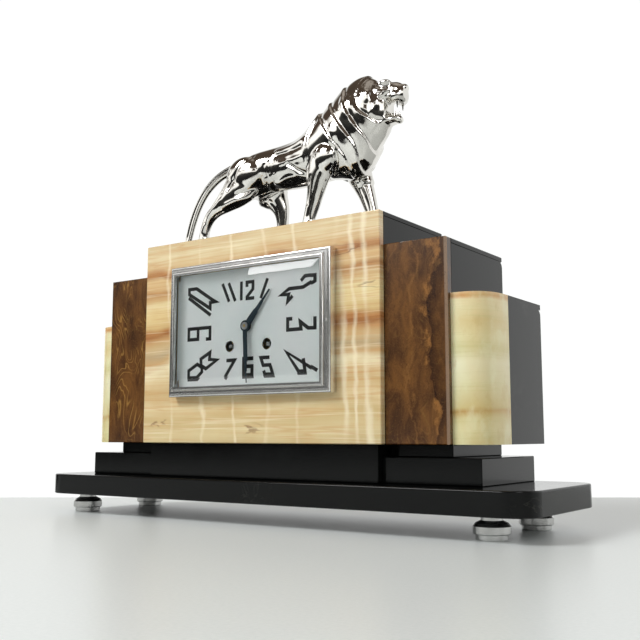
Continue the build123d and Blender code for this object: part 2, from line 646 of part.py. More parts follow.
def gong_solid():
    """Flat coil of steel wire made of half turns, clamped to an upright stand."""
    centre_z = dial_z - 8.0
    path = []
    middle, radius, upper = 0.0, gong_turn_radius, True
    for half_turn in range(5):
        arc_start = 0 if upper else 180
        path.append(CenterArc((middle, centre_z), radius, arc_start, 180))
        shift = gong_pitch / 2
        end_x = middle - radius if upper else middle + radius
        radius -= shift
        middle = end_x + radius if upper else end_x - radius
        upper = not upper
    wire = Wire([edge for line in path for edge in line.edges()])
    start = wire @ 0
    profile = Plane(origin=start, z_dir=wire % 0) * Circle(gong_wire)
    coil = sweep(profile, path=wire)
    coil = Pos(0, gong_y, 0) * Rot(90, 0, 0) * coil
    stand = block(start.X - 4, start.X + 4, gong_y - 4, gong_y + 4, centre_z - 8, centre_z + 1)
    stem = post(2.5, start.X, gong_y, body_z, centre_z - 8)
    return joined(coil, stand, stem)


def motion_work():
    """Cannon pinion, minute wheel and hour wheel behind the dial: 12 to 1 in two steps."""
    cannon = joined(
        disc(cannon_radius, minute_hand_y - hand_thick, front_plate_y - 0.5, 0, dial_z),
        gear(cannon_teeth, minute_module, -42.0, -39.0, 0, dial_z,
             mesh_phase(cannon_teeth, 0, dial_z, 0, minute_wheel_z, 0)))
    cannon -= disc(centre_arbor_radius + running_clearance, -60, -30, 0, dial_z)
    save("cannon_pinion", cannon)
    wheel = joined(
        gear(minute_teeth, minute_module, -41.5, -39.8, 0, minute_wheel_z,
             mesh_phase(minute_teeth, 0, minute_wheel_z, 0, dial_z, 0.5)),
        gear(minute_pinion, hour_module, -46.0, -41.5, 0, minute_wheel_z,
             mesh_phase(minute_pinion, 0, minute_wheel_z, 0, dial_z, 0)))
    wheel -= disc(1.1 + running_clearance, -50, -38, 0, minute_wheel_z)
    save("minute_wheel", wheel)
    hour = joined(
        disc(hour_pipe_radius, hour_hand_y - hand_thick, -43.0, 0, dial_z),
        gear(hour_teeth, hour_module, -45.4, -43.6, 0, dial_z,
             mesh_phase(hour_teeth, 0, dial_z, 0, minute_wheel_z, 0.5)))
    hour -= disc(cannon_radius + running_clearance, -60, -30, 0, dial_z)
    save("hour_wheel", hour)


# ---------------------------------------------------------------- straps and rear cover
ring_inner, ring_outer, ring_thick = 40.0, 52.0, 2.0
cover_radius, cover_thick = 43.0, 1.5
cover_gap = 0.3
rear_hinge_x = -46.5
rear_hinge_y = centre_back_y + ring_thick + 2.1


def movement_straps():
    """Two steel straps that pull the dial surround and the rear ring together."""
    straps, screws = [], []
    for side in (-1, 1):
        strap = block(strap_x, strap_x + strap_thick, face_y, centre_back_y, dial_z - strap_width / 2,
                      dial_z + strap_width / 2)
        foot = block(strap_x - 4, strap_x, face_y, face_y + 2, dial_z - strap_width / 2,
                     dial_z + strap_width / 2)
        lug = block(strap_x, strap_x + 4, centre_back_y - 3, centre_back_y, dial_z - strap_width / 2,
                    dial_z + strap_width / 2)
        strap = joined(strap, foot, lug)
        screw_x = strap_x + 2.2
        strap -= disc(1.2, centre_back_y - 4, centre_back_y + 1, screw_x, dial_z)
        straps.append(mirrored(strap, side))
        screw = disc(1.2, centre_back_y - 3, centre_back_y + ring_thick, screw_x, dial_z)
        head = disc(1.9, centre_back_y + 0.8, centre_back_y + ring_thick, screw_x, dial_z)
        screws.append(mirrored(screw + head, side))
    save("movement_straps", Compound(children=straps))
    save("strap_screws", Compound(children=screws))


def rear_ring_and_cover():
    y0 = centre_back_y
    ring = disc(ring_outer, y0, y0 + ring_thick, 0, dial_z) - disc(ring_inner, y0 - 1, y0 + 5, 0, dial_z)
    for side in (-1, 1):
        screw_x = side * (strap_x + 2.2)
        ring -= disc(1.2, y0 - 1, y0 + 5, screw_x, dial_z)
        ring -= disc(1.9, y0 + 0.8, y0 + 5, screw_x, dial_z)
    lug = block(rear_hinge_x - 1.5, rear_hinge_x + 1.5, y0 + ring_thick, rear_hinge_y, dial_z - 3.8,
                dial_z + 3.8)
    knuckle = post(knuckle_radius, rear_hinge_x, rear_hinge_y, dial_z - 3.8, dial_z + 3.8)
    pin_hole = post(pin_radius, rear_hinge_x, rear_hinge_y, dial_z - 20, dial_z + 20)
    save("rear_ring", joined(ring, lug, knuckle) - pin_hole)

    cover_y = y0 + ring_thick + cover_gap
    cover = disc(cover_radius, cover_y, cover_y + cover_thick, 0, dial_z)
    cover -= block(rear_hinge_x, rear_hinge_x + 6, cover_y - 1, cover_y + 3, dial_z - 4.2, dial_z + 4.2)
    for side in (-1, 1):
        z0, z1 = sorted((dial_z + side * 4.2, dial_z + side * knuckle_reach))
        cover += post(knuckle_radius, rear_hinge_x, rear_hinge_y, z0, z1)
        cover += block(rear_hinge_x, rear_hinge_x + 8, rear_hinge_y - 0.9, rear_hinge_y + 0.1, z0, z1)
    cover -= post(pin_radius + running_clearance, rear_hinge_x, rear_hinge_y, dial_z - 20, dial_z + 20)
    pull = disc(2.2, cover_y + cover_thick, cover_y + cover_thick + 3.0, cover_radius - 6, dial_z)
    save("rear_cover", cover + pull)


def hinge_pins():
    reach = knuckle_reach + 0.4
    pins = [post(pin_radius, hinge_x, hinge_y, dial_z - reach, dial_z + reach),
            post(pin_radius, rear_hinge_x, rear_hinge_y, dial_z - reach, dial_z + reach)]
    save("hinge_pins", Compound(children=pins))


base_slab()
feet()
plinth()
centre_case()
brown_block()
outer_block()
wing_tops_and_backs()
lion()
lion_nuts()
dial_surround()
dial_plate()
bezel_frame()
bezel_glass()
bezel_catch()
hands()
movement_plates()
barrels_and_springs()
going_train()
pallets()
pendulum()
strike_work()
motion_work()
movement_straps()
rear_ring_and_cover()
hinge_pins()
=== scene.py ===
import json
from math import cos, pi, radians, sin

import bmesh
import bpy
import numpy as np
from mathutils import Matrix, Vector


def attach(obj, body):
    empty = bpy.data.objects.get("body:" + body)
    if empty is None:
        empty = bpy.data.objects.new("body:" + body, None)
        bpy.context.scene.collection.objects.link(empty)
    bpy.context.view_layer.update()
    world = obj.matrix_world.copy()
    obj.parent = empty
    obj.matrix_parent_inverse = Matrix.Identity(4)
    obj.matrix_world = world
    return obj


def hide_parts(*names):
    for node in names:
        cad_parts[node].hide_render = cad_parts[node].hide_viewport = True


# sizes are in millimetres in the dictionaries and become metres when a mesh is finished
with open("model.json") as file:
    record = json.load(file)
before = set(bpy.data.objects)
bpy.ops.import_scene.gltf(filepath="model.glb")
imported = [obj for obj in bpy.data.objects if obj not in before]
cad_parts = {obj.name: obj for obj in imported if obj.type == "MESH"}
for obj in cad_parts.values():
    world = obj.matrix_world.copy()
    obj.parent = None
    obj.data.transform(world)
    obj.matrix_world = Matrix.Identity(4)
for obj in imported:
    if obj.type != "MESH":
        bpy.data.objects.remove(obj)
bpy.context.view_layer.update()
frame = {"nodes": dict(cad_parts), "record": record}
nodes = frame["nodes"]
mm = 0.001
blockTop = 233.5
dialHeight = 154.5
shiftX = -8.25  # the base is wider on the right, so the dial's middle is left of the frame's
shiftY = 2.75
print("frame loaded:", len(nodes), "nodes")


class Wire:  # a shader socket that can be used in sums

    def __init__(self, tree, socket):
        self.tree = tree
        self.socket = socket

    def node(self, kind, settings=None, inputs=None, out=0):
        made = self.tree.nodes.new(kind)
        for name, value in (settings or {}).items():
            if name == "stops":
                fillRamp(made.color_ramp, value)
            else:
                setattr(made, name, value)
        for key, value in (inputs or {}).items():
            if isinstance(value, Wire):
                self.tree.links.new(value.socket, made.inputs[key])
            else:
                made.inputs[key].default_value = value
        return Wire(self.tree, made.outputs[out])

    def maths(self, operation, *values):
        return self.node("ShaderNodeMath", {"operation": operation}, dict(enumerate(values)))

    def __add__(self, other):
        return self.maths("ADD", self, other)

    def __radd__(self, other):
        return self.maths("ADD", other, self)

    def __sub__(self, other):
        return self.maths("SUBTRACT", self, other)

    def __rsub__(self, other):
        return self.maths("SUBTRACT", other, self)

    def __mul__(self, other):
        return self.maths("MULTIPLY", self, other)

    def __rmul__(self, other):
        return self.maths("MULTIPLY", other, self)

    def __truediv__(self, other):
        return self.maths("DIVIDE", self, other)

    def __pow__(self, other):
        return self.maths("POWER", self, other)

    def __abs__(self):
        return self.maths("ABSOLUTE", self)

    def sine(self):
        return self.maths("SINE", self)

    def most(self, other):
        return self.maths("MAXIMUM", self, other)

    def between(self, low, high):  # 0 below low, 1 above high, smooth in between
        return self.node("ShaderNodeMapRange", {"interpolation_type": "SMOOTHSTEP"},
                         {"Value": self, "From Min": low, "From Max": high})

    def ramp(self, *stops):
        return self.node("ShaderNodeValToRGB", {"stops": stops}, {"Fac": self})

    def mix(self, first, second, kind="MIX"):  # this socket is the share of the second colour
        return self.node("ShaderNodeMix", {"data_type": "RGBA", "blend_type": kind},
                         {0: self, 6: first, 7: second}, out=2)

    def axes(self):
        first = self.node("ShaderNodeSeparateXYZ", None, {"Vector": self})
        outs = first.socket.node.outputs
        return [Wire(self.tree, outs[i]) for i in range(3)]

    def clouds(self, size, stretch=(1, 1, 1), detail=4, roughness=0.5, warp=0.0, seed=0.0):
        # soft noise whose lumps are about this many millimetres across
        scale = [1 / (size * s) for s in stretch]
        moved = self.node("ShaderNodeMapping", None,
                          {"Vector": self, "Location": (seed, seed * 1.7, seed * 0.6), "Scale": scale})
        return moved.node("ShaderNodeTexNoise", None, {"Vector": moved, "Scale": 1, "Detail": detail,
                                                       "Roughness": roughness, "Distortion": warp})


def fillRamp(ramp, stops):
    while len(ramp.elements) < len(stops):
        ramp.elements.new(1.0)
    for element, (position, colour) in zip(ramp.elements, stops):
        element.position = position
        element.color = colour


def tint(red, green, blue):  # a paint-chart colour, 0 to 255, in the shader's own scale
    return tuple(((c / 255 + 0.055) / 1.055) ** 2.4 for c in (red, green, blue)) + (1.0,)


def newFinish(name):
    material = bpy.data.materials.new(name)
    material.use_nodes = True
    tree = material.node_tree
    coords = Wire(tree, tree.nodes.new("ShaderNodeTexCoord").outputs["Object"])
    place = coords.node("ShaderNodeMapping", None, {"Vector": coords, "Location": (-shiftX, -shiftY, 0),
                                                   "Scale": (1 / mm, 1 / mm, 1 / mm)})
    return material, place


def setFinish(material, sockets, height=None, depth=0.05, strength=1.0):
    tree = material.node_tree
    shader = tree.nodes["Principled BSDF"]
    for name, value in sockets.items():
        if isinstance(value, Wire):
            tree.links.new(value.socket, shader.inputs[name])
        else:
            shader.inputs[name].default_value = value
    if height:
        bump = height.node("ShaderNodeBump", None,
                           {"Height": height, "Distance": depth * mm, "Strength": strength})
        tree.links.new(bump.socket, shader.inputs["Normal"])
    return material


def spots(x, z, places):  # soft patches round (x, z) places of a slab's face
    whole = None
    for atX, atZ, reachX, reachZ in places:
        far = ((x - atX) / reachX) ** 2 + ((z - atZ) / reachZ) ** 2
        patch = 1 - far.between(0.0, 1.0)
        whole = patch if whole is None else whole.most(patch)
    return whole


def bandStops(look):  # ramp stops for bands given by height
    depth = look["high"] - look["low"]
    return [((at - look["low"]) / depth, tint(*colour)) for at, colour in look["bands"]]


def streaksAt(position, places, spread):  # soft lines where a position is near the given places
    whole = None
    for at, width in places:
        one = 1 - abs(position - at).between(0.0, width * spread)
        whole = one if whole is None else whole.most(one)
    return whole


def creamOnyx():
    look = {
        "low": 62, "high": 233.5,
        "bands": [(62, (209, 189, 142)), (72, (223, 205, 158)), (84, (211, 187, 137)), (95, (228, 209, 164)),
                  (107, (210, 181, 133)), (116, (228, 209, 164)), (124, (236, 223, 185)),
                  (131, (202, 169, 123)), (137, (186, 165, 129)), (143, (207, 183, 140)),
                  (149, (199, 160, 111)), (154, (156, 99, 58)), (157, (177, 122, 74)),
                  (162, (214, 185, 131)), (171, (231, 210, 155)), (180, (233, 216, 166)),
                  (187, (202, 165, 119)), (191, (174, 126, 81)), (195, (216, 183, 135)),
                  (200, (222, 195, 147)), (204, (168, 113, 70)), (207, (178, 125, 82)),
                  (212, (216, 187, 141)), (222, (228, 211, 169)), (233.5, (217, 195, 152))],
        "streaks": [(-90, 1.8), (-54, 2.0), (-20, 1.6), (14, 2.2), (44, 1.8), (86, 3.0), (97, 2.2),
                    (109, 3.0)],
        "streakSpread": 1.5, "streakLean": 0.03, "streakLevel": 150, "streakWander": 18,
        "veins": [(88, 206, 30, 7), (104, 155, 24, 6), (-2, 74, 18, 6), (-104, 80, 16, 6),
                  (112, 178, 14, 4)],
        "sway": 22, "ripple": 6, "slope": 0.02,
    }
    material, place = newFinish("creamOnyx")
    x, _, z = place.axes()
    sway = place.clouds(70, detail=2, seed=3)
    ripple = place.clouds(14, stretch=(2.2, 2.2, 1), detail=5, seed=9)
    level = z + (sway - 0.5) * look["sway"] + (ripple - 0.5) * look["ripple"] - x * look["slope"]
    share = (level - look["low"]) / (look["high"] - look["low"])
    body = share.ramp(*bandStops(look))
    fine = place.clouds(2.4, stretch=(44, 44, 1), detail=3, roughness=0.6, warp=0.15)
    warm = x.between(40, 115) * 0.2 + 0.25
    body = (fine.between(0.5, 0.72) * warm).mix(body, tint(208, 158, 106))
    layer = place.clouds(5.5, stretch=(30, 30, 1), detail=2, roughness=0.5, warp=0.2, seed=41)
    body = ((1 - abs(layer - 0.5).between(0.0, 0.04)) * 0.35).mix(body, tint(204, 150, 98))
    body = ((1 - fine.between(0.28, 0.46)) * 0.4).mix(body, tint(252, 240, 208))
    wander = place.clouds(26, stretch=(1, 1, 1.6), detail=4, seed=21) - 0.5
    bend = x + wander * look["streakWander"] + (z - look["streakLevel"]) * look["streakLean"]
    streak = streaksAt(bend, look["streaks"], look["streakSpread"])
    broken = place.clouds(26, stretch=(1, 1, 2.4), detail=4, seed=5).between(0.3, 0.62)
    body = (streak * broken * 0.6).mix(body, tint(253, 244, 214))
    mottle = place.clouds(30, stretch=(1, 1, 0.7), detail=5, seed=31).between(0.35, 0.75)
    body = (mottle * 0.28).mix(body, tint(206, 166, 110))
    crack = place.clouds(16, stretch=(5, 5, 1), detail=4, roughness=0.55, warp=0.3, seed=14)
    thin = 1 - abs(crack - 0.5).between(0.0, 0.022)
    vein = thin * spots(x, z, look["veins"])
    body = (vein * 0.6).mix(body, tint(124, 80, 50))
    return setFinish(material, {"Base Color": body, "Roughness": 0.13 + fine * 0.12, "IOR": 1.52,
                                "Coat Weight": 0.25, "Coat Roughness": 0.05,
                                "Subsurface Weight": 0.06, "Subsurface Scale": 0.004},
                     height=fine - vein * 2, depth=0.02)


def brownOnyx():
    # the right block has a ragged fissure with a dark side, the left one has golden rings, and a painted
    # highlight strip lies along each plate's polished side edge
    look = {"fissure": 158, "strand": 143, "shadow": 160, "wander": 44, "rings": 62,
            "glintFrom": 169.0, "glintFull": 169.6, "glintFront": -41.6, "glintBack": -41.0}
    material, place = newFinish("brownOnyx")
    x, y, _ = place.axes()
    right = x.between(-20, 20)
    drift = place.clouds(30, stretch=(0.7, 1, 1.6), detail=4, seed=2)
    flow = place.clouds(15, stretch=(0.8, 1, 2.2), detail=7, roughness=0.66, warp=0.8, seed=6)
    depth = flow * 0.6 + drift * 0.4
    body = depth.ramp((0.32, tint(44, 26, 14)), (0.44, tint(72, 45, 23)), (0.52, tint(94, 61, 31)),
                      (0.60, tint(112, 74, 36)), (0.68, tint(84, 52, 26)), (0.78, tint(128, 90, 48)))
    swirl = place.clouds(40, stretch=(0.8, 1, 1.6), detail=3, roughness=0.4, warp=0.9, seed=11)
    rings = abs((swirl * look["rings"]).sine())
    thin = 1 - rings.between(0.0, 0.5)
    banded = place.clouds(26, stretch=(1, 1, 1.3), detail=2, seed=17).between(0.44, 0.6)
    body = (thin * banded * (0.7 - right * 0.55)).mix(body, tint(166, 124, 62))
    drawn = place.clouds(34, stretch=(1, 1, 1.4), detail=6, roughness=0.6, seed=29) - 0.5
    wander = x + drawn * look["wander"]
    ragged = place.clouds(7, stretch=(1, 1, 1.6), detail=5, roughness=0.65, seed=37)
    fissure = 1 - abs(wander - look["fissure"]).between(0.0, 5.0)
    body = (fissure * ragged.between(0.44, 0.6) * 0.75).mix(body, tint(158, 108, 56))
    strand = 1 - abs(wander - look["strand"]).between(0.0, 2.2)
    body = (strand * ragged.between(0.38, 0.5) * 0.5).mix(body, tint(140, 96, 50))
    past = wander - look["shadow"]
    shadow = past.between(0.5, 1.5) * (1 - past.between(2.0, 12.0))
    body = (shadow * 0.7).mix(body, tint(40, 20, 10))
    # painted highlight: a pale strip on the side of each brown plate, just behind its front edge, stands in
    # for the polished arris reflecting the bright wall
    outer = abs(x).between(look["glintFrom"], look["glintFull"])
    paintedGlint = outer * (1 - y.between(look["glintFront"], look["glintBack"]))
    body = (paintedGlint * 0.6).mix(body, tint(186, 158, 134))
    grain = place.clouds(1.2, detail=4, roughness=0.75, seed=4)
    body = (grain.between(0.54, 0.74) * 0.4).mix(body, tint(142, 100, 52))
    body = ((1 - grain.between(0.28, 0.48)) * 0.45).mix(body, tint(34, 19, 11))
    return setFinish(material, {"Base Color": body, "Roughness": 0.14 + grain * 0.14, "IOR": 1.5,
                                "Coat Weight": 0.2, "Coat Roughness": 0.06},
                     height=grain, depth=0.02)


def paleOnyx():
    look = {
        "low": 62, "high": 168,
        "bands": [(62, (220, 212, 158)), (72, (234, 228, 178)), (80, (222, 212, 158)), (85, (196, 158, 98)),
                  (88, (216, 202, 146)), (104, (234, 232, 190)), (118, (244, 242, 208)),
                  (128, (222, 218, 168)), (137, (236, 230, 184)), (148, (228, 212, 160)),
                  (156, (238, 230, 186)), (162, (240, 228, 186)), (165, (206, 148, 92)),
                  (168, (232, 200, 156))],
        "goldFrom": 172, "goldFull": 190, "ripple": 7,
    }
    material, place = newFinish("paleOnyx")
    x, _, z = place.axes()
    ripple = place.clouds(24, stretch=(1.5, 1.5, 1), detail=5, seed=8)
    level = z + (ripple - 0.5) * look["ripple"]
    share = (level - look["low"]) / (look["high"] - look["low"])
    body = share.ramp(*bandStops(look))
    gold = abs(x).between(look["goldFrom"], look["goldFull"]) * 0.6
    body = (gold * 0.6).mix(body, tint(216, 184, 118))
    fine = place.clouds(2.2, stretch=(22, 22, 1), detail=4, roughness=0.65, warp=0.3, seed=3)
    body = (fine.between(0.5, 0.7) * 0.35).mix(body, tint(208, 198, 138))
    mottle = place.clouds(13, stretch=(1, 1, 1.7), detail=5, roughness=0.6, seed=12)
    body = (mottle.between(0.48, 0.7) * 0.4).mix(body, tint(240, 238, 198))
    body = ((1 - mottle.between(0.3, 0.45)) * 0.3).mix(body, tint(200, 172, 112))
    return setFinish(material, {"Base Color": body, "Roughness": 0.12 + fine * 0.12, "IOR": 1.52,
                                "Coat Weight": 0.25, "Coat Roughness": 0.05,
                                "Subsurface Weight": 0.06, "Subsurface Scale": 0.004},
                     height=fine, depth=0.02)


def blackMarble():
    material, place = newFinish("blackMarble")
    cloud = place.clouds(28, detail=6, roughness=0.6, seed=1)
    body = cloud.ramp((0.3, tint(7, 8, 8)), (0.55, tint(10, 11, 11)), (0.75, tint(16, 18, 17)))
    fleck = place.clouds(1.1, detail=2, roughness=0.6, seed=7)
    body = (fleck.between(0.66, 0.8) * 0.4).mix(body, tint(34, 36, 34))
    crack = place.clouds(46, stretch=(1, 1, 0.5), detail=7, roughness=0.62, warp=0.7, seed=13)
    vein = 1 - abs(crack - 0.5).between(0.0, 0.006)
    patch = place.clouds(70, detail=1, seed=25).between(0.5, 0.62)
    body = (vein * patch * 0.35).mix(body, tint(96, 96, 90))
    return setFinish(material, {"Base Color": body, "Roughness": 0.08 + cloud * 0.1, "IOR": 1.3},
                     height=fleck, depth=0.015)


def platedMetal(name, colour, roughness, scratch=0.08, stretch=(1, 1, 1), grain=0.6, depth=0.004):
    material, place = newFinish(name)
    haze = place.clouds(18, detail=4, seed=3)
    rub = place.clouds(grain, stretch=stretch, detail=3, roughness=0.6, seed=8)
    dull = tuple(c * 0.82 for c in colour[:3]) + (1.0,)
    body = haze.between(0.4, 0.75).mix(colour, dull)
    return setFinish(material, {"Base Color": body, "Metallic": 1.0,
                                "Roughness": roughness + (haze - 0.4) * scratch + rub * scratch * 0.6},
                     height=rub, depth=depth)


def silveredDial():
    material, place = newFinish("silveredDial")
    brush = place.clouds(0.5, stretch=(1, 1, 60), detail=3, roughness=0.6)
    age = place.clouds(24, detail=4, seed=6)
    body = age.ramp((0.3, tint(236, 242, 242)), (0.6, tint(244, 248, 248)), (0.8, tint(230, 235, 234)))
    body = (brush.between(0.45, 0.7) * 0.18).mix(body, tint(236, 240, 238))
    return setFinish(material, {"Base Color": body, "Metallic": 0.05, "Roughness": 0.36 + brush * 0.12},
                     height=brush, depth=0.006)


def blackEnamel():
    material, place = newFinish("blackEnamel")
    grain = place.clouds(0.8, detail=3)
    body = grain.ramp((0.3, tint(5, 7, 8)), (0.7, tint(12, 15, 16)))
    return setFinish(material, {"Base Color": body, "Roughness": 0.35 + grain * 0.2}, height=grain,
                     depth=0.01)


def clearGlass():
    material, place = newFinish("clearGlass")
    wave = place.clouds(60, detail=1)
    body = wave.ramp((0.3, tint(250, 254, 253)), (0.7, tint(255, 255, 255)))
    return setFinish(material, {"Base Color": body, "Roughness": 0.0, "IOR": 1.46,
                                "Transmission Weight": 1.0}, height=wave, depth=0.01, strength=0.3)


finishes = {
    "black_marble": blackMarble(),
    "cream_onyx": creamOnyx(),
    "pale_onyx": paleOnyx(),
    "brown_onyx": brownOnyx(),
    "nickel_plate": platedMetal("nickelPlate", (0.74, 0.72, 0.68, 1), 0.05, scratch=0.05, grain=2.5),
    "bezel_nickel": platedMetal("bezelNickel", (0.74, 0.735, 0.72, 1), 0.2, scratch=0.08, grain=0.4,
                                stretch=(20, 1, 20)),
    "turned_steel": platedMetal("turnedSteel", (0.66, 0.66, 0.65, 1), 0.2, scratch=0.14, grain=0.35,
                                stretch=(30, 30, 1), depth=0.02),
    "blued_steel": platedMetal("bluedSteel", (0.045, 0.065, 0.08, 1), 0.34, grain=0.3, stretch=(1, 1, 20)),
    "silvered_dial": silveredDial(),
    "clear_glass": clearGlass(),
    "movement_brass": platedMetal("movementBrass", (0.70, 0.50, 0.22, 1), 0.26, scratch=0.16, grain=0.5,
                                  stretch=(1, 1, 26), depth=0.01),
    "plain_steel": platedMetal("plainSteel", (0.55, 0.56, 0.57, 1), 0.24, scratch=0.14, grain=0.4),
    "spring_steel": platedMetal("springSteel", (0.10, 0.12, 0.16, 1), 0.3, scratch=0.14, grain=0.4),
}
for part in frame["record"]["subparts"]:
    node = nodes[part["node"]]
    node.data.materials.clear()
    node.data.materials.append(finishes[part["material_slot"]])
print("finishes made:", len(finishes))


def finishPiece(name, shape, material, body, replaced=(), smooth=None):
    # turns a bmesh in millimetres into a piece that rides on a body of the frame
    bmesh.ops.translate(shape, vec=(shiftX, shiftY, 0), verts=shape.verts)
    bmesh.ops.scale(shape, vec=(mm, mm, mm), verts=shape.verts)
    mesh = bpy.data.meshes.new(name)
    shape.to_mesh(mesh)
    shape.free()
    piece = bpy.data.objects.new(name, mesh)
    bpy.context.scene.collection.objects.link(piece)
    mesh.materials.append(material)
    if smooth is not None:
        mesh.polygons.foreach_set("use_smooth", [True] * len(mesh.polygons))
        mesh.set_sharp_from_angle(angle=radians(smooth))
    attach(piece, body)
    if replaced:
        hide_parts(*replaced)
    return piece


# numerals: strokes in millimetres from the hands' axis, across and up
numerals = {
    "front": -51.7, "lift": 0.14, "mitre": 2.6,
    "strokes": [
        ("closed", 2.9, [(-64, 31.2), (-64, 35.4), (-55.8, 35.4), (-38.5, 24.8), (-33.6, 22.6), (-40.4, 22.6),
                         (-40.4, 17.6)]),
        ("open", 2.9, [(-64.6, 28.2), (-39.8, 12)]),
        ("open", 2.9, [(-44.6, -7.6), (-40.2, -7.6), (-40.2, 1.8), (-63.8, 1.8), (-63.8, -7.2), (-53.4, -7.2),
                       (-53.4, 1.8)]),
        ("closed", 2.9, [(-63.2, -33), (-53.6, -28), (-48.5, -31), (-48.5, -34.5), (-54, -39), (-63.2, -39)]),
        ("closed", 2.9, [(-49.8, -23.8), (-39.8, -18.8), (-40.4, -24.6), (-32.4, -25.4), (-44.2, -32),
                         (-49.4, -29.2)]),
        ("open", 2.9, [(-22, -26.4), (-13.4, -26.4), (-23.6, -40)]),
        ("open", 3.1, [(5.8, -25.8), (-4, -25.8), (-4, -38.8), (4.6, -38.8), (4.6, -32), (-2.8, -32)]),
        ("open", 2.9, [(22, -25.8), (13.4, -25.8), (15.8, -31.8), (22.6, -31.8), (25.4, -39), (17.6, -39),
                       (16.4, -36)]),
        ("open", 3.0, [(65.6, -37.8), (38.4, -22.6), (50.2, -38), (56.2, -38), (54.6, -28.2)]),
        ("open", 2.9, [(44, 2.8), (39.6, 2.8), (39.6, -5.6), (52.4, -5.6), (51.6, 0), (59.2, -5.4),
                       (63.4, -5.4), (63.4, 3.2)]),
        ("open", 2.9, [(52.2, 31.6), (56, 35), (63.4, 35), (63.4, 30.4), (54.2, 26.4), (41, 26.4),
                       (33.4, 22.2), (40.6, 22.2), (39.4, 16.4), (44.2, 20.6)]),
        ("open", 2.7, [(-7.2, 36.8), (-7.2, 21.4)]),
        ("open", 2.8, [(-1.4, 31.8), (-1.4, 35.6), (4.8, 35.6), (4.8, 29.6), (-1.2, 23.8), (-1.2, 22.4),
                       (6.2, 22.4)]),
        ("open", 2.7, [(-27.2, 36.8), (-20, 21.4)]),
        ("open", 2.7, [(-20.6, 36.8), (-13.4, 21.4)]),
        ("open", 2.7, [(19.6, 36.8), (12.8, 21.4)]),
    ],
}


def strokeEdges(points, width, closed, mitre):
    # left and right edge points of a flat stroke with mitred corners
    lefts, rights = [], []
    count = len(points)
    for i, point in enumerate(points):
        here = Vector(point)
        before = Vector(points[i - 1]) if closed or i > 0 else None
        after = Vector(points[(i + 1) % count]) if closed or i < count - 1 else None
        inward = (here - before).normalized() if before else (after - here).normalized()
        outward = (after - here).normalized() if after else inward
        normal = Vector((-inward.y, inward.x)) + Vector((-outward.y, outward.x))
        normal.normalize()
        lean = max(normal.dot(Vector((-outward.y, outward.x))), 1 / mitre)
        lefts.append(here + normal * width / 2 / lean)
        rights.append(here - normal * width / 2 / lean)
    return lefts, rights


def makeNumerals(look):
    shape = bmesh.new()
    for kind, width, points in look["strokes"]:
        closed = kind == "closed"
        sides = strokeEdges(points, width, closed, look["mitre"])
        rows = [[shape.verts.new((p.x, look["front"] - 0.02, dialHeight + p.y)) for p in side]
                for side in sides]
        spans = len(points) if closed else len(points) - 1
        for i in range(spans):
            j = (i + 1) % len(points)
            shape.faces.new((rows[0][i], rows[1][i], rows[1][j], rows[0][j]))
    raised = bmesh.ops.extrude_face_region(shape, geom=shape.faces[:])
    moved = [v for v in raised["geom"] if isinstance(v, bmesh.types.BMVert)]
    bmesh.ops.translate(shape, vec=(0, -look["lift"], 0), verts=moved)
    bmesh.ops.recalc_face_normals(shape, faces=shape.faces[:])
    return finishPiece("dial_numerals", shape, blackEnamel(), "case")


makeNumerals(numerals)
print("numerals made")

# bezel: distances in from the outer edge, and heights off the stone
bezel = {
    "halfX": 82.04, "halfZ": 54.64, "face": -48.5, "smooth": 35,
    "profile": [(0.0, 0.3), (0.0, 7.1), (0.2, 7.7), (0.8, 8.1), (1.5, 8.15), (1.95, 8.0), (2.0, 7.95),
                (2.3, 7.95), (2.35, 9.2), (2.7, 9.5), (4.3, 9.55), (4.5, 9.35), (4.75, 9.35),
                (4.8, 10.8), (5.15, 11.3), (5.8, 11.56), (6.6, 11.5), (7.1, 11.2), (7.3, 11.0),
                (7.82, 10.9), (7.82, 9.8)],
}


def rectangle(shape, halfX, halfZ, depth, middle):
    corners = [(-halfX, -halfZ), (halfX, -halfZ), (halfX, halfZ), (-halfX, halfZ)]
    verts = [shape.verts.new((cx, depth, middle + cz)) for cx, cz in corners]
    return [shape.edges.new((verts[i], verts[(i + 1) % 4])) for i in range(4)]


def makeBezel(look):
    shape = bmesh.new()
    loops = [rectangle(shape, look["halfX"] - inward, look["halfZ"] - inward, look["face"] - height,
                       dialHeight) for inward, height in look["profile"]]
    for first, second in zip(loops, loops[1:] + loops[:1]):
        bmesh.ops.bridge_loops(shape, edges=first + second)
    bmesh.ops.recalc_face_normals(shape, faces=shape.faces[:])
    return finishPiece("bezel_moulding", shape, finishes["bezel_nickel"], "door",
                       smooth=look["smooth"])


makeBezel(bezel)
print("bezel made")

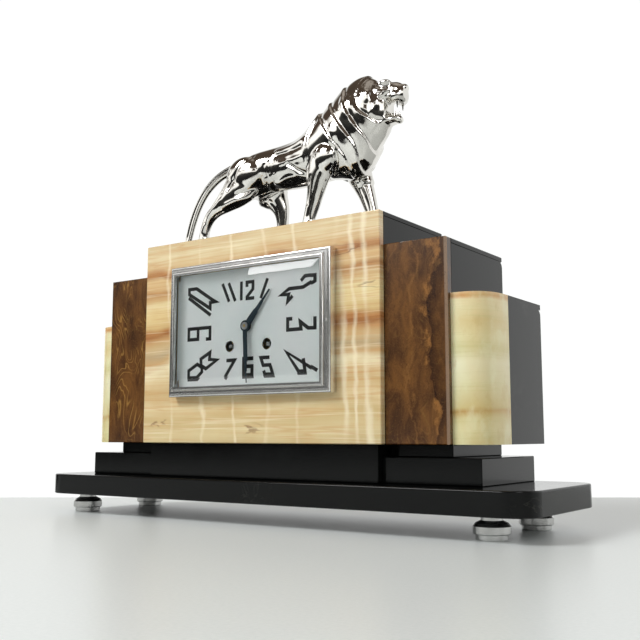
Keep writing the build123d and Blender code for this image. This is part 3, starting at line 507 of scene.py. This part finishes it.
# lion: every place is (x, height above the block); widths are across the animal
lion = {
    "middle": -4.0, "voxel": 0.9, "softening": 8, "finalSoftening": 0.35, "smooth": 50,
    "steps": 4, "trunkSides": 40, "limbSides": 24, "standOff": 0.02,
    "upright": ("trunk", "muzzle", "jaw"),
    "limbs": ("nearHind", "farHind", "nearFore", "farFore", "tail"),
    # x, top, bottom, half width
    "trunk": [(-64, 66, 52, 5), (-59, 71.5, 45, 10), (-50, 75.6, 41, 15.5), (-38, 79.2, 41, 18),
              (-26, 81.4, 43, 17), (-14, 82.2, 45.5, 15.5), (0, 83, 43.5, 15.5), (14, 85, 42.8, 16.5),
              (26, 89.6, 43, 18.5), (36, 96.2, 43.6, 20), (46, 103, 44.4, 21), (56, 111, 43.6, 21.5),
              (66, 119, 42.2, 21.5), (76, 124.2, 42.6, 20.5), (84, 124.5, 48, 19), (90, 121.8, 58, 17),
              (95, 117.6, 66, 14.5), (100, 113, 72, 11.5), (103.5, 108, 79, 8)],
    "muzzle": [(90, 119, 96, 11.5), (97, 117, 94.5, 12), (102, 115.6, 95.5, 11), (107, 114.6, 98, 9),
               (112, 114, 97, 8.4), (116, 111.8, 95.8, 7.6), (118.6, 108.6, 97.4, 5.6),
               (119.8, 105, 101, 2.5)],
    "jaw": [(88, 94, 74, 12), (95, 90.5, 77, 10.5), (101, 87.2, 79.4, 8.8), (106, 86.2, 80.2, 7.2),
            (110.5, 86.4, 80.8, 6), (113.6, 86.4, 81.8, 4.2), (114.8, 85.4, 83.2, 2)],
    # limbs: x, height, sideways from the middle, half depth, half width
    "nearHind": [(-34, 66, -6, 15, 9), (-37, 58, -9, 19, 9.5), (-44, 48, -11.5, 17, 8.6),
                 (-56, 39.5, -12.5, 11, 7), (-67, 32.8, -13, 6.6, 5.6), (-74.5, 27, -13, 5.4, 4.9),
                 (-79, 19.5, -13, 4.7, 4.6), (-81.2, 12, -13, 4.7, 4.6), (-82, 5, -13, 5.2, 5.2)],
    "farHind": [(-28, 66, 6, 15, 9), (-28, 58, 9, 19, 9.5), (-24, 47, 11.5, 16, 8.4), (-18, 38, 12.5, 11, 7),
                (-14.5, 30, 13, 8, 5.8), (-13.2, 22, 13, 6.2, 5), (-13, 13, 13, 5.4, 4.8),
                (-12.6, 5, 13, 5.6, 5.2)],
    "nearFore": [(56, 80, -8, 12, 9), (51, 68, -12, 13, 8.6), (47.5, 56, -14, 12.5, 8),
                 (44.8, 45, -14.6, 10.8, 7.2), (42, 33, -14.4, 8.2, 6), (38.8, 22, -14, 6.6, 5.2),
                 (35.4, 12, -14, 5.5, 4.9), (33.8, 5, -14, 5.6, 5.3)],
    "farFore": [(58, 78, 8, 12, 9), (61, 66, 11, 13, 8.6), (65, 54, 12, 12, 8), (69, 43, 12.4, 9.8, 7),
                (73.6, 32, 12.4, 7.8, 6), (77.4, 21, 12.2, 6.4, 5.2), (80.2, 12, 12, 5.5, 4.9),
                (81, 5, 12, 5.6, 5.3)],
    "tail": [(-44, 72, 0, 6, 5), (-54, 72.6, 0, 5, 4.2), (-66, 70.5, 0, 4.6, 3.8), (-79, 65.5, 0, 4.4, 3.6),
             (-91, 56.5, 0, 4.2, 3.4), (-100, 45, 0, 4.1, 3.3), (-106.5, 32, 0, 4, 3.2),
             (-111, 19, 0, 3.8, 3.1), (-114.2, 8, 0, 3.6, 3), (-115.4, 2.4, 0, 3.6, 3)],
    # swellings: x, height, sideways, half sizes along x, sideways and up
    "swells": [(53.5, 58, 17.5, 10.5, 6.5, 12), (62, 76, 15, 9, 8, 13), (-36, 60, 13, 19, 7.5, 16),
               (22, 66, 11, 17, 6.5, 10), (74, 92, 14.5, 10, 7, 16), (78, 60, 6, 9, 9, 12),
               (88, 100, 11, 7, 6.5, 13), (103, 113.6, 6.6, 5.6, 3.4, 2.5), (112.5, 101, 5, 5.6, 4.4, 5),
               (90, 85, 8, 8, 6, 8), (96, 96, 10.6, 5, 3.4, 9)],
    "single": [(118.2, 108, 0, 2.9, 4.4, 3.2), (104, 87.5, 0, 6.5, 4.2, 2.2),
               (112.6, 82.6, 0, 3.4, 4.2, 3.2)],
    # paws: x and sideways; then half sizes and height of a pad and of a toe
    "paws": [(-78, -13), (-9, 13), (37.6, -14), (84.6, 12)],
    "pad": (8.5, 6.6, 4.2), "padHeight": 3.2,
    "toe": (4.2, 2.1, 3.2), "toeHeight": 2.6, "toeForward": 8.4, "toeFan": 0.3,
    "toes": (-4.8, -1.6, 1.6, 4.8),
    # teeth: x, root height, tip height, sideways, root radius
    "teeth": [(113.4, 98, 91.4, 4.4, 1.3), (110.8, 85.5, 91, 3.6, 1.2),
              (116, 97.4, 94.6, 0.8, 0.7), (115.5, 97.4, 94.6, 2.0, 0.7), (115, 97.4, 94.6, 3.2, 0.7),
              (113, 85.6, 88, 0.7, 0.6), (112.5, 85.6, 88, 1.7, 0.6), (112, 85.6, 88, 2.7, 0.6)],
    "toothTip": 0.25, "toothSides": 12,
    # a lip's cut: width, depth as a share of its height, where the hollow lies and how wide it is
    "lipCut": 1.1, "lipDepth": 0.5, "hollowAt": 1.6, "hollowNear": 1.1, "hollowFar": 2.0, "lipEnd": 0.04,
    "fade": 0.12, "creaseSteps": 5,
    # creases: kind, height, width, points; rims stand up, folds cut in, lips overlap what is in front
    "creases": [
        ("lip", 1.25, 8.5, [(41, 104), (45, 95), (50, 88), (55, 80), (65, 65), (71, 55), (73, 46), (72, 36)]),
        ("lip", 1.25, 8.5, [(50, 115), (56, 102), (62, 92), (71, 78.5), (79, 66.5), (81, 57), (80, 48),
                           (79, 38)]),
        ("lip", 1.25, 8.5, [(63, 126), (68, 113), (71, 104), (75, 92), (83, 78), (88.5, 69), (90, 61),
                           (91, 50)]),
        ("lip", 1.3, 6.0, [(88, 127), (84, 116), (81.5, 106), (81, 99), (84.5, 91), (91.5, 85), (99, 79)]),
        ("lip", 1.1, 9.0, [(44, 96), (39, 87), (36, 80), (35, 70), (35, 58), (35, 48), (34.5, 38)]),
        ("rim", 0.9, 2.2, [(-4, 74.5), (8, 75), (20, 76), (33, 78)]),
        ("fold", 0.8, 1.8, [(-4, 70.5), (8, 70.5), (20, 71), (33, 72)]),
        ("rim", 0.7, 2.2, [(2, 62), (16, 62.4), (33, 63)]),
        ("fold", 0.9, 1.5, [(12, 62), (23, 54.6), (34, 48.4)]),
        ("rim", 0.7, 1.6, [(12, 59), (22, 52), (34, 46)]),
        ("fold", 0.9, 1.2, [(-12, 66), (-13, 60), (-11, 53)]),
        ("fold", 0.9, 1.2, [(-7.6, 68), (-8.4, 61), (-6.4, 54)]),
        ("fold", 0.9, 1.2, [(-3, 69), (-3.8, 62), (-2, 55)]),
        ("rim", 1.0, 1.8, [(-5, 49.5), (0, 47.6), (12, 50), (33, 49)]),
        ("fold", 1.2, 1.8, [(-24, 76), (-36, 66), (-42.6, 55.5), (-50, 46)]),
        ("fold", 1.3, 2.0, [(-14, 57), (-19, 48.6), (-29, 44), (-42, 41.2)]),
        ("rim", 1.0, 2.0, [(-6, 52), (-14.6, 44), (-26, 39), (-42, 37), (-58, 33)]),
        ("fold", 0.9, 1.6, [(-54, 47), (-64, 38), (-73, 31), (-78, 20)]),
        ("rim", 0.6, 1.4, [(-57, 42), (-67, 34), (-75, 26), (-80, 13)]),
        ("fold", 0.8, 1.5, [(50, 48), (44, 34), (39, 20), (35.5, 8)]),
        ("fold", 0.7, 1.4, [(40, 46), (38.5, 34), (35.4, 20)]),
        ("fold", 0.8, 1.5, [(68, 50), (73, 34), (78, 20), (80.5, 8)]),
        ("fold", 0.8, 1.6, [(-26, 42), (-17, 33), (-14.4, 20), (-13.6, 8)]),
        ("fold", 1.2, 1.5, [(-52, 72.6), (-66, 70.5), (-79, 65.5), (-91, 56.5), (-100, 45), (-106.5, 32),
                            (-111, 19), (-114.2, 6)]),
        ("fold", 1.1, 1.6, [(63, 66), (64, 58), (61, 50), (55, 46)]),
        ("fold", 1.4, 2.0, [(98, 112), (104, 109.4), (108.5, 110)]),
        ("rim", 0.7, 1.3, [(99, 103), (106, 101), (112, 105.5)]),
        ("fold", 0.7, 1.1, [(100, 99), (107, 103), (115, 106)]),
        ("fold", 0.6, 1.1, [(94, 84), (101, 83), (108, 83.4)]),
        ("rim", 1.0, 1.6, [(92, 108), (93.5, 100), (95, 92), (93, 84)]),
    ],
}


def inBetween(stations, steps):
    # more stations on smooth curves through the given ones
    rows = np.array(stations, float)
    count = len(rows)
    out = []
    for i in range(count - 1):
        before, a, b, after = (rows[max(i - 1, 0)], rows[i], rows[i + 1], rows[min(i + 2, count - 1)])
        for k in range(steps):
            t = k / steps
            out.append(0.5 * (2 * a + (b - before) * t + (2 * before - 5 * a + 4 * b - after) * t * t
                              + (3 * a - before - 3 * b + after) * t ** 3))
    out.append(rows[-1])
    return out


def skin(shape, rings, segments):
    # closed loft through oval rings, each a placement matrix for a unit circle
    loops = []
    for matrix in rings:
        made = bmesh.ops.create_circle(shape, cap_ends=False, segments=segments, radius=1.0)
        bmesh.ops.transform(shape, matrix=matrix, verts=made["verts"])
        loops.append(list(dict.fromkeys(edge for v in made["verts"] for edge in v.link_edges)))
    for first, second in zip(loops, loops[1:]):
        bmesh.ops.bridge_loops(shape, edges=first + second)
    for ends in (loops[0], loops[-1]):
        bmesh.ops.contextual_create(shape, geom=ends)


def oval(middle, side, up, forward, halfSide, halfUp):
    # matrix that lays a unit circle across a direction
    matrix = Matrix((side * halfSide, up * halfUp, forward)).transposed().to_4x4()
    matrix.translation = middle
    return matrix


def standingRings(stations, middle, steps):
    rings = []
    for x, top, bottom, half in inBetween(stations, steps):
        centre = Vector((x, middle, blockTop + (top + bottom) / 2))
        rings.append(oval(centre, Vector((0, 1, 0)), Vector((0, 0, 1)), Vector((1, 0, 0)), half,
                          (top - bottom) / 2))
    return rings


def limbRings(stations, middle, steps):
    rows = inBetween(stations, steps)
    points = [Vector((row[0], middle + row[2], blockTop + row[1])) for row in rows]
    rings = []
    for i, (_, _, _, deep, wide) in enumerate(rows):
        forward = (points[min(i + 1, len(rows) - 1)] - points[max(i - 1, 0)]).normalized()
        side = (Vector((0, 1, 0)) - forward * forward.y).normalized()
        rings.append(oval(points[i], side, forward.cross(side), forward, wide, deep))
    return rings


def addSwell(shape, x, height, across, halfX, halfSide, halfUp, middle):
    made = bmesh.ops.create_uvsphere(shape, u_segments=24, v_segments=16, radius=1.0)
    matrix = Matrix.Diagonal((halfX, halfSide, halfUp, 1))
    matrix.translation = (x, middle + across, blockTop + height)
    bmesh.ops.transform(shape, matrix=matrix, verts=made["verts"])


def lionBody(look):
    shape = bmesh.new()
    middle = look["middle"]
    for part in look["upright"]:
        skin(shape, standingRings(look[part], middle, look["steps"]), look["trunkSides"])
    for part in look["limbs"]:
        skin(shape, limbRings(look[part], middle, look["steps"]), look["limbSides"])
    for x, height, across, halfX, halfSide, halfUp in look["swells"]:
        for side in (-1, 1):
            addSwell(shape, x, height, across * side, halfX, halfSide, halfUp, middle)
    for swell in look["single"]:
        addSwell(shape, *swell, middle)
    for x, across in look["paws"]:
        addSwell(shape, x, look["padHeight"], across, *look["pad"], middle)
        for toe in look["toes"]:
            front = x + look["toeForward"] - abs(toe) * look["toeFan"]
            addSwell(shape, front, look["toeHeight"], across + toe, *look["toe"], middle)
    bmesh.ops.recalc_face_normals(shape, faces=shape.faces[:])
    return shape


def meltTogether(shape, voxel, softening):
    # joins overlapping closed shapes into one skin and softens where they meet
    mesh = bpy.data.meshes.new("melt")
    shape.to_mesh(mesh)
    shape.free()
    blank = bpy.data.objects.new("melt", mesh)
    bpy.context.scene.collection.objects.link(blank)
    remesh = blank.modifiers.new("remesh", "REMESH")
    remesh.mode = "VOXEL"
    remesh.voxel_size = voxel
    soften = blank.modifiers.new("soften", "SMOOTH")
    soften.factor = 0.5
    soften.iterations = softening
    depsgraph = bpy.context.evaluated_depsgraph_get()
    melted = bpy.data.meshes.new_from_object(blank.evaluated_get(depsgraph))
    bpy.data.objects.remove(blank)
    return melted


def nearestOn(line, flat):
    # distance to a line, the same signed by side, and the share of the line reached, for each point
    nearest = np.full(len(flat), np.inf)
    signed = np.zeros(len(flat))
    along = np.zeros(len(flat))
    spans = len(line) - 1
    for i in range(spans):
        start, end = line[i], line[i + 1]
        step = end - start
        reach = np.clip(((flat - start) @ step) / (step @ step), 0, 1)
        gap = flat - (start + reach[:, None] * step)
        far = np.hypot(gap[:, 0], gap[:, 1])
        closer = far < nearest
        side = np.sign(gap[:, 0] * step[1] - gap[:, 1] * step[0])
        nearest[closer] = far[closer]
        signed[closer] = (side * far)[closer]
        along[closer] = ((i + reach) / spans)[closer]
    return nearest, signed, along


def lipShift(look, height, width, nearest, signed, along):
    # raised behind the line, cut under in front of it
    depth = look["lipDepth"] * height
    raised = height * np.exp(-nearest / width)
    offset = nearest - look["hollowAt"]
    cut = height * (1 - nearest / look["lipCut"]) - depth * np.exp(-(offset / look["hollowNear"]) ** 2)
    hollow = -depth * np.exp(-(offset / look["hollowFar"]) ** 2)
    front = np.where(nearest < look["lipCut"], np.maximum(cut, -depth), hollow)
    ending = 1 - np.clip(along - (1 - look["lipEnd"]), 0, 1) / look["lipEnd"]
    return np.where(signed > 0, raised, front) * np.clip(ending, 0, 1)


def creaseShift(look, places):
    # how far each point moves along its normal for the creases on both flanks
    shift = np.zeros(len(places))
    flat = places[:, [0, 2]] - np.array([0, blockTop])
    for kind, height, width, points in look["creases"]:
        line = np.array(inBetween(points, look["creaseSteps"]), float)
        nearest, signed, along = nearestOn(line, flat)
        if kind == "lip":
            shift += lipShift(look, height, width, nearest, signed, along)
            continue
        fade = np.clip(along / look["fade"], 0, 1) * np.clip((1 - along) / look["fade"], 0, 1)
        ridge = height * np.exp(-(nearest / width) ** 2) * fade
        shift += ridge if kind == "rim" else -ridge
    return shift


def carve(mesh, look):
    count = len(mesh.vertices)
    places = np.zeros(count * 3)
    mesh.vertices.foreach_get("co", places)
    places = places.reshape(-1, 3)
    normals = np.zeros(count * 3)
    mesh.vertices.foreach_get("normal", normals)
    normals = normals.reshape(-1, 3)
    places = places + normals * creaseShift(look, places)[:, None]
    places[:, 2] = np.maximum(places[:, 2], blockTop + look["standOff"])
    mesh.vertices.foreach_set("co", places.reshape(-1))
    mesh.update()


def addTooth(shape, look, x, root, tip, across, radius):
    made = bmesh.ops.create_cone(shape, cap_ends=True, segments=look["toothSides"], radius1=radius,
                                 radius2=look["toothTip"], depth=abs(tip - root))
    matrix = Matrix.Translation((x, look["middle"] + across, blockTop + (root + tip) / 2))
    if tip < root:
        matrix = matrix @ Matrix.Rotation(pi, 4, "X")
    bmesh.ops.transform(shape, matrix=matrix, verts=made["verts"])


def makeLion(look):
    mesh = meltTogether(lionBody(look), look["voxel"], look["softening"])
    print("lion melted:", len(mesh.polygons), "faces")
    carve(mesh, look)
    shape = bmesh.new()
    shape.from_mesh(mesh)
    bpy.data.meshes.remove(mesh)
    bmesh.ops.smooth_vert(shape, verts=shape.verts[:], factor=look["finalSoftening"], use_axis_x=True,
                          use_axis_y=True, use_axis_z=True)
    for x, root, tip, across, radius in look["teeth"]:
        for side in (-1, 1):
            addTooth(shape, look, x, root, tip, side * across, radius)
    return finishPiece("lion_figure", shape, finishes["nickel_plate"], "case",
                       replaced=("lion_statuette",), smooth=look["smooth"])


makeLion(lion)
print("lion made")

# camera: turns in degrees, lens and sensor in millimetres, the rest in metres
camera = {"place": (0.44225, -0.59375, 0.069), "tilt": 7.33, "turn": 34.99, "lens": 50.06, "sensor": 36,
          "nearest": 0.01}

# floor and light: the floor ends in a straight edge behind the clock, and beyond it all is white
stage = {
    "floorSize": 3.2, "floorBehind": 1.0, "aim": (0, 0, 0.15),
    # lights: name, place in metres, width and height, watts
    "lights": [("key", (-0.75, -1.35, 1.35), (1.0, 0.7), 27), ("fill", (1.3, -0.9, 1.0), (0.6, 0.6), 5)],
    # room: how high a direction points, and what shines from there
    "room": [(0.0, (0.02, 0.02, 0.02, 1)), (0.2, (0.05, 0.05, 0.045, 1)), (0.26, (1.5, 1.5, 1.47, 1)),
             (0.43, (1.5, 1.5, 1.47, 1)), (0.49, (0.085, 0.06, 0.045, 1)), (0.9, (0.10, 0.075, 0.055, 1)),
             (1.0, (0.5, 0.45, 0.4, 1))],
    "patch": (0.08, 0.06, 0.045, 1), "patchScale": 3.0, "behind": (1.02, 1.03, 1.02, 1),
}


def makeStage(look, view):
    material, place = newFinish("paper")
    grain = place.clouds(2.0, detail=3)
    body = grain.ramp((0.3, tint(226, 232, 231)), (0.7, tint(233, 238, 237)))
    setFinish(material, {"Base Color": body, "Roughness": 0.27 + grain * 0.1, "IOR": 1.36}, height=grain,
              depth=0.02)
    shape = bmesh.new()
    bmesh.ops.create_grid(shape, x_segments=1, y_segments=1, size=look["floorSize"] / 2)
    bmesh.ops.translate(shape, vec=(0, look["floorBehind"] - look["floorSize"] / 2, 0), verts=shape.verts)
    bmesh.ops.rotate(shape, matrix=Matrix.Rotation(radians(view["turn"]), 3, "Z"), verts=shape.verts)
    bmesh.ops.translate(shape, vec=(view["place"][0], view["place"][1], 0), verts=shape.verts)
    mesh = bpy.data.meshes.new("floor")
    shape.to_mesh(mesh)
    shape.free()
    floor = bpy.data.objects.new("floor", mesh)
    bpy.context.scene.collection.objects.link(floor)
    mesh.materials.append(material)


def addLight(name, place, size, power, target):
    data = bpy.data.lights.new(name, "AREA")
    data.shape = "RECTANGLE"
    data.size, data.size_y = size
    data.energy = power
    light = bpy.data.objects.new(name, data)
    bpy.context.scene.collection.objects.link(light)
    light.location = place
    light.rotation_euler = (Vector(target) - Vector(place)).to_track_quat("-Z", "Y").to_euler()


def addWorld(look):
    # a dim room in front, a white band of windows above it, a brown ceiling and white behind
    world = bpy.data.worlds.new("studio")
    bpy.context.scene.world = world
    world.use_nodes = True
    tree = world.node_tree
    facing = Wire(tree, tree.nodes.new("ShaderNodeTexCoord").outputs["Generated"])
    _, y, z = facing.axes()
    room = z.ramp(*look["room"])
    patches = facing.node("ShaderNodeTexNoise", None,
                          {"Vector": facing, "Scale": look["patchScale"], "Detail": 2})
    dark = patches.between(0.53, 0.58) * z.between(0.27, 0.32)
    room = dark.mix(room, look["patch"])
    behind = y.between(0.05, 0.25) * (1 - z.between(0.5, 0.75))
    colour = behind.mix(room, look["behind"])
    background = tree.nodes["Background"]
    tree.links.new(colour.socket, background.inputs["Color"])
    background.inputs["Strength"].default_value = 1.0


makeStage(stage, camera)
addWorld(stage)
for name, place, size, power in stage["lights"]:
    addLight(name, place, size, power, stage["aim"])
print("stage and light set")


def addCamera(look):
    data = bpy.data.cameras.new("camera")
    data.lens = look["lens"]
    data.sensor_width = look["sensor"]
    data.clip_start = look["nearest"]
    view = bpy.data.objects.new("camera", data)
    bpy.context.scene.collection.objects.link(view)
    view.location = look["place"]
    view.rotation_euler = (radians(90 + look["tilt"]), 0, radians(look["turn"]))
    bpy.context.scene.camera = view


addCamera(camera)
bpy.context.scene.view_settings.view_transform = "Standard"
